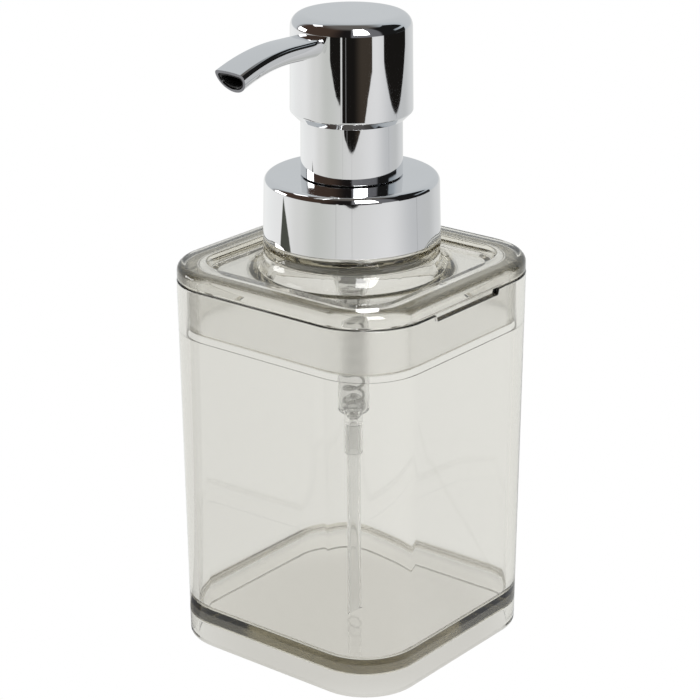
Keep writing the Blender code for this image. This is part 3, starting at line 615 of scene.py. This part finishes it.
def build_pump_body(natural, white, foam):
    bore = NECK_BORE - 0.0010
    corners = [(FLANGE_RADIUS, gasket_low.z, 0.0001), (FLANGE_RADIUS, gasket_high.z, 0.0001)]
    corners += [(bore, gasket_high.z, 0.0001), (bore, gasket_low.z, 0.0001)]
    turned_piece("gasket_foam", corners, "pump", "neck_gasket", foam)

    ball_bore = (ball_high.x - ball_low.x) / 2.0 + 0.0004
    socket_bore = SOCKET_RADIUS - 0.0010
    tube_socket = TUBE_RADIUS + 0.0002
    corners = [(FLANGE_RADIUS, FLANGE_BOTTOM, 0.0002), (FLANGE_RADIUS, FLANGE_TOP, 0.0003)]
    corners += [(socket_bore, FLANGE_TOP, 0.0002), (socket_bore, SOCKET_BOTTOM, 0.0005)]
    corners += [(HOUSING_BORE, SOCKET_BOTTOM - 0.0022, 0.0005)]
    corners += [(HOUSING_BORE, HOUSING_BOTTOM + 0.0006, 0.0001)]
    corners += [(ball_bore, HOUSING_BOTTOM + 0.0006, 0.0001), (ball_bore, 0.0576, 0.0001)]
    corners += [(0.0009, 0.0566, 0.0001), (0.0009, TUBE_TOP + GAP, 0.0001)]
    corners += [(tube_socket, TUBE_TOP + GAP, 0.0001), (tube_socket, NIPPLE_BOTTOM, 0.0001)]
    corners += [(NIPPLE_RADIUS, NIPPLE_BOTTOM, 0.0001), (NIPPLE_RADIUS, HOUSING_BOTTOM - 0.0010, 0.0004)]
    corners += [(HOUSING_RADIUS, HOUSING_BOTTOM, 0.0005), (HOUSING_RADIUS, SOCKET_BOTTOM - 0.0024, 0.0008)]
    corners += [(SOCKET_RADIUS, SOCKET_BOTTOM - 0.0002, 0.0008), (SOCKET_RADIUS, FLANGE_BOTTOM, 0.0004)]
    turned_piece("housing_moulded", corners, "pump", "pump_housing", natural)

    low = HOUSING_BOTTOM + 0.0007
    step = SPRING_BOTTOM - SPRING_WIRE - 0.0002
    peg = SPRING_RADIUS - SPRING_WIRE - 0.0003
    corners = [(HOUSING_BORE - 0.0002, low, 0.0001), (HOUSING_BORE - 0.0002, step, 0.00005)]
    corners += [(peg, step, 0.00005), (peg, 0.0625, 0.0002)]
    corners += [(0.0010, 0.0625, 0.0001), (0.0010, step + 0.0008, 0.0001)]
    corners += [(0.0015, step + 0.0002, 0.0001), (0.0015, low, 0.00005)]
    turned_piece("spring_cage", corners, "pump", "spring_seat", natural)

    plug = SOCKET_RADIUS - 0.0010 - GAP
    guide = STEM_RADIUS + 0.0002
    seat = FLANGE_TOP + GAP
    rim = NUT_BORE - 0.0062
    corners = [(plug, 0.1042, 0.0002), (plug, seat, 0.0001)]
    corners += [(rim, seat, 0.0001), (rim, seat + 0.0016, 0.0003)]
    corners += [(0.0058, seat + 0.0016, 0.0005), (0.0052, 0.1215, 0.0002), (guide, 0.1215, 0.0001)]
    corners += [(guide, 0.1020, 0.0001), (0.0052, 0.1020, 0.0002), (0.0060, 0.1042, 0.0002)]
    turned_piece("chaplet_moulded", corners, "pump", "chaplet", white)

    corners = [(0.0050, 0.1218, 0.0002), (0.0050, 0.1228, 0.0002)]
    corners += [(STEM_RADIUS + 0.0001, 0.1228, 0.0001), (STEM_RADIUS + 0.0001, 0.1218, 0.0001)]
    turned_piece("stem_wiper", corners, "pump", "stem_seal", foam)


def build_ball(steel):
    radius = (ball_high.z - ball_low.z) / 2.0
    middle = (ball_high.z + ball_low.z) / 2.0
    steps = 24
    outline = []
    for step in range(steps + 1):
        angle = -math.pi / 2.0 + math.pi * step / steps
        outline.append(Vector((abs(radius * math.cos(angle)), middle + radius * math.sin(angle))))
    outline[0].x = outline[-1].x = 0.0
    ball = new_object("ball_steel", turned(outline, SMALL_STEPS))
    finish_piece(ball, "inlet_ball", "inlet_ball", steel, weighted=False)


def build_spring(steel):
    steps_per_turn = 40
    sides = 14
    count = int(SPRING_TURNS * steps_per_turn)
    dead = 0.75
    end_rise = 2.2 * SPRING_WIRE * dead
    loops = []
    for step in range(count + 1):
        turn = SPRING_TURNS * step / count
        active = min(max(turn - dead, 0.0), SPRING_TURNS - 2.0 * dead) / (SPRING_TURNS - 2.0 * dead)
        flat = min(turn, dead) / dead * end_rise + max(turn - SPRING_TURNS + dead, 0.0) / dead * end_rise
        height = SPRING_BOTTOM + flat + active * (SPRING_TOP - SPRING_BOTTOM - 2.0 * end_rise)
        angle = 2.0 * math.pi * turn
        outward = Vector((math.cos(angle), math.sin(angle), 0.0))
        centre = outward * SPRING_RADIUS + Vector((0.0, 0.0, height))
        section = []
        for side in range(sides):
            around = 2.0 * math.pi * side / sides
            lift = Vector((0.0, 0.0, math.sin(around)))
            section.append(centre + SPRING_WIRE * (math.cos(around) * outward + lift))
        loops.append(section)
    spring = new_object("spring_wire", skin(loops))
    finish_piece(spring, "pump", "main_spring", steel, weighted=False)
    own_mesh(spring)


def build_plunger(natural, white):
    foot = SPRING_TOP + SPRING_WIRE + 0.0003
    seat = piston_low.z - 0.0012
    top = piston_high.z
    corners = [(0.0, foot - 0.0040, 0.0), (0.0014, foot - 0.0034, 0.0004), (0.0014, foot, 0.0001)]
    corners += [(0.0031, foot, 0.0002), (0.0031, foot + 0.0010, 0.0003), (0.0012, foot + 0.0024, 0.0006)]
    corners += [(0.0012, seat, 0.0002), (0.0020, seat + 0.0004, 0.0002), (0.0020, seat + 0.0010, 0.0002)]
    corners += [(0.0010, seat + 0.0020, 0.0003), (0.0010, top + 0.0080, 0.0002), (0.0, top + 0.0086, 0.0)]
    turned_piece("core_rod", corners, "plunger", "piston_core", natural, closed=False)

    low = piston_low.z
    lip = (piston_high.x - piston_low.x) / 2.0
    body = HOUSING_BORE - 0.0009
    corners = [(body - 0.0008, low + 0.0008, 0.0002), (lip - 0.0004, low, 0.0001), (lip, low + 0.0001, 0.0)]
    corners += [(body, low + 0.0018, 0.0008), (body, top - 0.0014, 0.0008), (lip, top - 0.0001, 0.0)]
    corners += [(lip - 0.0004, top, 0.0001), (0.0014, top - 0.0012, 0.0002), (0.0014, low + 0.0024, 0.0002)]
    corners += [(0.0016, low + 0.0008, 0.0001)]
    turned_piece("piston_cup", corners, "piston", "piston", white)

    corners = [(STEM_RADIUS, stem_low.z, 0.0001), (STEM_RADIUS, stem_high.z, 0.0001)]
    corners += [(STEM_BORE, stem_high.z, 0.0001), (STEM_BORE, stem_low.z, 0.0001)]
    turned_piece("stem_tube", corners, "head", "stem", natural)


def build_dip_tube(natural):
    """A tube that leaves the nipple straight, leans to one corner and ends in a slanted cut."""
    foot = TUBE_FOOT
    bend = NIPPLE_BOTTOM - 0.0020
    steps = 56
    sides = 28
    path = [Vector((0.0, 0.0, TUBE_TOP)), Vector((0.0, 0.0, NIPPLE_BOTTOM))]
    for step in range(1, steps + 1):
        part = step / steps
        lean = part ** 1.35
        path.append(Vector((foot.x * lean, foot.y * lean, bend + (foot.z - bend) * part)))
    outer = []
    inner = []
    side = Vector((1.0, 0.0, 0.0))
    for index, centre in enumerate(path):
        along = (path[min(index + 1, len(path) - 1)] - path[max(index - 1, 0)]).normalized()
        if index == 0:
            side = along.orthogonal().normalized()
        side = (side - side.dot(along) * along).normalized()
        across = along.cross(side)
        cut = TUBE_CUT if index == len(path) - 1 else 0.0
        for radius, loops in ((TUBE_RADIUS, outer), (TUBE_BORE, inner)):
            section = []
            for step in range(sides):
                angle = 2.0 * math.pi * step / sides
                offset = radius * (math.cos(angle) * side + math.sin(angle) * across)
                section.append(centre + offset + along * (cut * offset.dot(side)))
            loops.append(section)
    tube = new_object("dip_tube_clear", skin(outer + inner[::-1], closed=True))
    finish_piece(tube, "pump", "dip_tube", natural)


# ---------------------------------------------------------------- head and spout
def spout_sections(start, end, inset, count):
    """D-shaped sections along the spout, flat side up, drawn in by inset."""
    loops = []
    for index in range(count + 1):
        along = start + (end - start) * index / count
        bent = max(along - SPOUT_STRAIGHT, 0.0)
        slope = math.atan(2.0 * SPOUT_CURVE * bent)
        part = min(max(along - HEAD_RADIUS_TOP, 0.0) / (SPOUT_REACH - HEAD_RADIUS_TOP), 1.0)
        half = SPOUT_HALF_ROOT + (SPOUT_HALF_MOUTH - SPOUT_HALF_ROOT) * part - inset
        depth = SPOUT_DEPTH_ROOT + (SPOUT_DEPTH_MOUTH - SPOUT_DEPTH_ROOT) * part - 2.0 * inset
        top = Vector((0.0, -along, SPOUT_ROOT_TOP - SPOUT_CURVE * bent * bent))
        up = Vector((0.0, -math.sin(slope), math.cos(slope)))
        top -= up * inset
        loops.append([top + Vector((x, 0.0, 0.0)) + up * z for x, z in d_outline(half, depth)])
    return loops


def d_outline(half, depth):
    """A D on its back: a slightly crowned top, rounded shoulders and a round belly."""
    crown = 0.0002
    shoulder = 0.25 * half
    flat = half - shoulder
    points = []
    arc_steps = 8
    for step in range(1, arc_steps):
        angle = math.pi / 2.0 * step / arc_steps
        points.append((-flat - shoulder * math.cos(angle), -shoulder * (1.0 - math.sin(angle))))
    top_steps = 8
    for step in range(top_steps + 1):
        across = -1.0 + 2.0 * step / top_steps
        points.append((flat * across, crown * (1.0 - across * across)))
    for step in range(1, arc_steps):
        angle = math.pi / 2.0 * (1.0 - step / arc_steps)
        points.append((flat + shoulder * math.cos(angle), -shoulder * (1.0 - math.sin(angle))))
    belly = 40
    for step in range(belly + 1):
        angle = math.pi * step / belly
        points.append((half * math.cos(angle), -shoulder - (depth - shoulder) * math.sin(angle)))
    return points


def build_head(chrome, white, black):
    bottom = head_low.z
    top = head_high.z
    lip = SLEEVE_RADIUS + 0.00035
    corners = [(0.0, bottom, 0.0), (HEAD_RADIUS_BOTTOM - HEAD_CHAMFER, bottom, 0.0003)]
    corners += [(HEAD_RADIUS_BOTTOM, bottom + HEAD_CHAMFER, 0.0008)]
    corners += [(HEAD_RADIUS_TOP, top - HEAD_CROWN, HEAD_EDGE_ROUND)]
    flat_edge = HEAD_RADIUS_TOP - HEAD_EDGE_ROUND - 0.0004
    corners += [(flat_edge, top - HEAD_CROWN * (flat_edge / HEAD_RADIUS_TOP) ** 2, 0.0)]
    outline = soften(corners)
    crown_steps = 10
    for step in range(1, crown_steps + 1):
        radius = flat_edge * (1.0 - step / crown_steps)
        outline.append(Vector((radius, top - HEAD_CROWN * (radius / HEAD_RADIUS_TOP) ** 2)))
    shell = new_object("head_chromed", turned(outline, 256))
    combine(shell, skin(spout_sections(0.0100, SPOUT_REACH, 0.0, 60)), "UNION")
    inner = HEAD_RADIUS_BOTTOM - HEAD_WALL - 0.0004
    ceiling = top - HEAD_WALL
    cavity = [(0.0, bottom - 0.0010, 0.0), (lip, bottom - 0.0010, 0.0), (lip, bottom + 0.0012, 0.0)]
    cavity += [(inner, bottom + HEAD_CHAMFER + 0.0004, 0.0), (inner - 0.0003, ceiling, 0.0025)]
    cavity.append((0.0, ceiling, 0.0))
    combine(shell, turned(soften(cavity), 96), "DIFFERENCE")
    combine(shell, skin(spout_sections(0.0090, SPOUT_REACH + 0.0020, SPOUT_WALL, 40)), "DIFFERENCE")
    shell.data.transform(Matrix.Rotation(HEAD_TURN, 4, "Z"))
    finish_piece(shell, "head", "head_shell", chrome)

    plate = top - HEAD_WALL - GAP - 0.0002
    socket = STEM_RADIUS + 0.0002
    corners = [(0.0, 0.1400, 0.0), (0.0043, 0.1400, 0.0002), (0.0043, plate, 0.0002), (0.0, plate, 0.0)]
    core = new_object("head_actuator", turned(soften(corners), SMALL_STEPS))
    combine(core, skin(spout_sections(0.0, 0.0130, SPOUT_WALL + GAP, 6)), "UNION")
    seat = stem_high.z + 0.0002
    bore = [Vector(p) for p in ((0.0, 0.1390), (socket, 0.1390), (socket, seat), (STEM_BORE, seat))]
    bore += [Vector((STEM_BORE, 0.1528)), Vector((0.0, 0.1528))]
    combine(core, turned(bore, SMALL_STEPS), "DIFFERENCE")
    combine(core, skin(spout_sections(0.0, 0.0140, SPOUT_WALL + GAP + 0.0006, 6)), "DIFFERENCE")
    core.data.transform(Matrix.Rotation(HEAD_TURN, 4, "Z"))
    finish_piece(core, "head", "head_core", white)

    inset = SPOUT_WALL + 0.00015
    outer = spout_sections(0.0133, SPOUT_REACH - 0.0003, inset, 40)
    inner_loops = spout_sections(0.0133, SPOUT_REACH - 0.0003, inset + LINER_WALL, 40)
    liner = new_object("spout_lining", skin(outer + inner_loops[::-1], closed=True))
    liner.data.transform(Matrix.Rotation(HEAD_TURN, 4, "Z"))
    finish_piece(liner, "head", "spout_liner", black)


# ---------------------------------------------------------------- studio
FLOOR_RADIUS = 0.9
DARK = (0.010, 0.009, 0.008)
BROWN_DARK = (0.050, 0.040, 0.031)
SPIKE_BEARING = -98.0     # where a dark spike lies on the table, left of the dispenser
SPIKE_DARK = (0.080, 0.085, 0.070)
NEAR_DARK = (0.26, 0.26, 0.27)      # the spike's end under the dispenser
SEEN_THROUGH = (0.87, 0.87, 0.84)   # what the clear plastic shows of the table
UNDER = (0.63, 0.62, 0.585)         # the same, in the shade of the dispenser
UNDER_INNER = 0.028       # that shade fades out between these distances from the axis
UNDER_OUTER = 0.054
# Brightness round the table and round the room at each bearing from the camera's side, in degrees.
TABLE_TONES = (
    (-180.0, (0.80, 0.80, 0.79)),
    (-145.0, (0.97, 0.98, 0.97)),
    (-98.0, (0.93, 0.93, 0.92)),
    (-70.0, (0.78, 0.78, 0.76)),
    (-45.0, (0.64, 0.65, 0.62)),
    (0.0, (0.76, 0.76, 0.75)),
    (45.0, (0.84, 0.84, 0.84)),
    (88.0, (0.60, 0.61, 0.62)),
    (112.0, (0.60, 0.61, 0.61)),
    (140.0, (0.72, 0.73, 0.73)),
    (180.0, (0.80, 0.80, 0.79)),
)
ROOM_TONES = (
    (-180.0, (0.62, 0.66, 0.68)),
    (-130.0, (0.55, 0.59, 0.62)),
    (-118.0, (0.07, 0.045, 0.035)),
    (-50.0, (0.06, 0.040, 0.030)),
    (-12.0, (0.012, 0.010, 0.010)),
    (-2.0, (0.012, 0.010, 0.010)),
    (2.0, (0.20, 0.20, 0.21)),
    (55.0, (0.16, 0.16, 0.17)),
    (62.0, (0.012, 0.012, 0.012)),
    (88.0, (0.012, 0.012, 0.012)),
    (95.0, (0.34, 0.38, 0.41)),
    (125.0, (0.52, 0.56, 0.59)),
    (180.0, (0.62, 0.66, 0.68)),
)
FAR_WALL = (0.62, 0.645, 0.66)
ZENITH = (0.14, 0.13, 0.12)
# Dark panels and lights: bearing, half width, lowest and highest elevation, strength.
LIGHTS = (
    (90.5, 28.5, -3.0, 14.0, 0.012),
    (90.5, 28.5, 23.0, 58.0, 0.012),
    (20.0, 15.0, 17.8, 64.0, 9.0),
    (-106.0, 11.0, 4.0, 18.4, 6.0),
    (-114.0, 10.0, 48.0, 60.0, 2.0),
)


def tones(graph, bearing, table):
    """A colour that follows a table of (bearing, colour)."""
    ramp = graph.tree.nodes.new("ShaderNodeValToRGB")
    ramp.color_ramp.interpolation = "EASE"
    stops = ramp.color_ramp.elements
    while len(stops) < len(table):
        stops.new(0.5)
    for stop, (degrees, colour) in zip(stops, table):
        stop.position = degrees / 360.0 + 0.5
        stop.color = (*colour, 1.0)
    graph.put(ramp.inputs["Fac"], graph.multiply_add(bearing, 1.0 / 360.0, 0.5))
    return ramp.outputs["Color"]


def between(graph, value, low, high, soft=0.6):
    """1 between two values or sockets, 0 beyond."""
    rise = graph.ramp(graph.math("SUBTRACT", value, low), -soft, soft)
    fall = graph.ramp(graph.math("SUBTRACT", high, value), -soft, soft)
    return graph.math("MULTIPLY", rise, fall)


def grow(graph, distance, near, far, power=0.5):
    """0 nearer than near, 1 beyond far, and a rounded or pointed start between them."""
    return graph.math("POWER", graph.ramp(distance, near, far, smooth=False), power)


def table_shapes(graph, bearing, distance, colour):
    """Dark shapes that lie round the table, each one narrowing to a tip on its near side."""
    left = graph.multiply_add(grow(graph, distance, 0.622, 0.73), -20.0, -20.0)
    colour = graph.mix(between(graph, bearing, left, -20.0), colour, DARK)
    start = grow(graph, distance, 0.500, 0.535)
    widen = graph.math("MULTIPLY", graph.ramp(distance, 0.52, 0.70, smooth=False), 22.0)
    left = graph.math("MULTIPLY", start, -17.0)
    right = graph.math("ADD", graph.math("MULTIPLY", start, 16.5), widen)
    inner = graph.mix(graph.ramp(bearing, 3.0, 20.0), DARK, BROWN_DARK)
    line = between(graph, bearing, -10.8, -9.8, 0.4)
    inner = graph.mix(graph.math("MULTIPLY", line, 0.45), inner, (0.5, 0.5, 0.5))
    colour = graph.mix(between(graph, bearing, left, right), colour, inner)
    half = graph.math("MULTIPLY", grow(graph, distance, 0.574, 0.71), 28.5)
    off = graph.math("ABSOLUTE", graph.math("SUBTRACT", bearing, 90.5))
    return graph.mix(between(graph, off, -60.0, half), colour, DARK)


def build_studio():
    """A white table. Chrome also shows the tones and the dark shapes that lie round it."""
    floor_data = bmesh.new()
    bmesh.ops.create_circle(floor_data, cap_ends=True, segments=96, radius=FLOOR_RADIUS)
    floor = new_object("table_top", floor_data)
    floor.location = AXIS - Vector((0.0, 0.0, 0.0002))
    look = bpy.data.materials.new("table_look")
    look.use_nodes = True
    tree = look.node_tree
    tree.nodes.clear()
    graph = Graph(tree)
    where = tree.nodes.new("ShaderNodeTexCoord").outputs["Object"]
    toward = graph.dot(where, FRONT)
    aside = graph.dot(where, SIDE)
    bearing = graph.math("DEGREES", graph.math("ARCTAN2", aside, toward))
    square = graph.math("ADD", graph.math("MULTIPLY", toward, toward), graph.math("MULTIPLY", aside, aside))
    distance = graph.math("SQRT", square)
    mirrored = table_shapes(graph, bearing, distance, tones(graph, bearing, TABLE_TONES))
    depth = graph.ramp(distance, 0.466, 0.385, smooth=False)
    left = graph.multiply_add(depth, -4.5, SPIKE_BEARING)
    right = graph.multiply_add(depth, 15.0, SPIKE_BEARING)
    spike = graph.math("MULTIPLY", between(graph, bearing, left, right), graph.ramp(depth, 0.0, 0.02))
    near = graph.ramp(distance, 0.34, 0.36)
    mirrored = graph.mix(spike, mirrored, graph.mix(near, NEAR_DARK, SPIKE_DARK))
    path = tree.nodes.new("ShaderNodeLightPath")
    shade = graph.mix(graph.ramp(aside, -0.06, 0.06), tuple(0.89 * c for c in SEEN_THROUGH), SEEN_THROUGH)
    shade = graph.mix(graph.ramp(distance, UNDER_INNER, UNDER_OUTER), UNDER, shade)
    colour = graph.mix(path.outputs["Is Transmission Ray"], mirrored, shade)
    colour = graph.mix(path.outputs["Is Camera Ray"], colour, (1.0, 1.0, 1.0))
    glow = tree.nodes.new("ShaderNodeEmission")
    tree.links.new(colour, glow.inputs["Color"])
    output = tree.nodes.new("ShaderNodeOutputMaterial")
    tree.links.new(glow.outputs[0], output.inputs["Surface"])
    floor.data.materials.append(look)


def build_world():
    """The room round the table: a light far wall, a darker near side, lights and dark panels."""
    world = bpy.data.worlds.new("studio")
    world.use_nodes = True
    bpy.context.scene.world = world
    tree = world.node_tree
    tree.nodes.clear()
    graph = Graph(tree)
    where = tree.nodes.new("ShaderNodeTexCoord").outputs["Generated"]
    toward = graph.dot(where, FRONT)
    aside = graph.dot(where, SIDE)
    rise = graph.dot(where, (0.0, 0.0, 1.0))
    bearing = graph.math("DEGREES", graph.math("ARCTAN2", aside, toward))
    elevation = graph.math("DEGREES", graph.math("ARCSINE", rise))

    far_off = tree.nodes.new("ShaderNodeValue")
    far_off.outputs[0].default_value = 2.0 * FLOOR_RADIUS
    low = table_shapes(graph, bearing, far_off.outputs[0], tones(graph, bearing, TABLE_TONES))
    high = tones(graph, bearing, ROOM_TONES)
    beyond = graph.math("MULTIPLY", graph.ramp(toward, -0.30, -0.70), graph.ramp(elevation, 76.0, 40.0))
    high = graph.mix(graph.ramp(elevation, 52.0, 76.0), high, ZENITH)
    high = graph.mix(beyond, high, FAR_WALL)
    for middle, half, lowest, highest, strength in LIGHTS:
        mask = graph.math("MULTIPLY", graph.band(bearing, middle - half, middle + half, 1.0),
                          graph.band(elevation, lowest, highest, 0.5))
        high = graph.mix(mask, high, (strength, strength, strength))
    room = graph.mix(graph.ramp(elevation, -5.0, 1.0), low, high)

    path = tree.nodes.new("ShaderNodeLightPath")
    overhead = tuple(1.22 * c for c in SEEN_THROUGH)
    behind = graph.mix(graph.ramp(elevation, 25.0, 60.0), SEEN_THROUGH, overhead)
    colour = graph.mix(path.outputs["Is Transmission Ray"], room, behind)
    colour = graph.mix(path.outputs["Is Camera Ray"], colour, (1.0, 1.0, 1.0))
    background = tree.nodes.new("ShaderNodeBackground")
    tree.links.new(colour, background.inputs["Color"])
    output = tree.nodes.new("ShaderNodeOutputWorld")
    tree.links.new(background.outputs[0], output.inputs["Surface"])


def build_camera():
    """Stands at the viewing angle, with the small turns that a hand-aimed camera has."""
    out = FRONT * math.cos(CAMERA_ELEVATION) + Vector((0.0, 0.0, math.sin(CAMERA_ELEVATION)))
    place = CAMERA_TARGET + out * CAMERA_DISTANCE
    forward = -out
    right = forward.cross(Vector((0.0, 0.0, 1.0))).normalized()
    up = right.cross(forward)
    yaw = Matrix.Rotation(CAMERA_YAW, 3, up)
    forward = yaw @ forward
    right = yaw @ right
    pitch = Matrix.Rotation(CAMERA_PITCH, 3, right)
    forward = pitch @ forward
    up = pitch @ up
    roll = Matrix.Rotation(CAMERA_ROLL, 3, forward)
    right = roll @ right
    up = roll @ up
    data = bpy.data.cameras.new("camera")
    data.lens = CAMERA_LENS
    data.sensor_width = CAMERA_SENSOR
    data.clip_start = 0.01
    camera = bpy.data.objects.new("camera", data)
    camera.matrix_world = Matrix((
        (right.x, up.x, -forward.x, place.x),
        (right.y, up.y, -forward.y, place.y),
        (right.z, up.z, -forward.z, place.z),
        (0.0, 0.0, 0.0, 1.0),
    ))
    bpy.context.scene.collection.objects.link(camera)
    bpy.context.scene.camera = camera


def set_light_paths():
    scene = bpy.context.scene
    scene.view_settings.view_transform = "Standard"
    scene.cycles.max_bounces = 40
    scene.cycles.transmission_bounces = 40
    scene.cycles.glossy_bounces = 16
    scene.cycles.diffuse_bounces = 4


def main():
    build_camera()
    build_studio()
    build_world()
    set_light_paths()
    floor_edge = (FOOT_DEPTH + 0.0004, FLOOR_TOP - 0.0004)
    tumbler_smoke = smoke_look("smoke_tumbler_look", 60.0, 0.20, *floor_edge, matt=0.10)
    lid_smoke = smoke_look("smoke_lid_look", 72.0, 0.18, SKIRT_BOTTOM - 0.0010, LID_BOTTOM - 0.0004)
    chrome = chrome_look()
    natural = natural_look()
    white = plastic_look("white_plastic_look", (0.86, 0.86, 0.84), 0.38)
    black = plastic_look("black_plastic_look", (0.012, 0.012, 0.012), 0.30)
    foam = foam_look()
    steel = steel_look()
    build_tumbler(tumbler_smoke)
    build_lid(lid_smoke)
    build_closure(chrome, white)
    build_pump_body(natural, white, foam)
    build_ball(steel)
    build_spring(steel)
    build_plunger(natural, white)
    build_dip_tube(natural)
    build_head(chrome, white, black)


main()
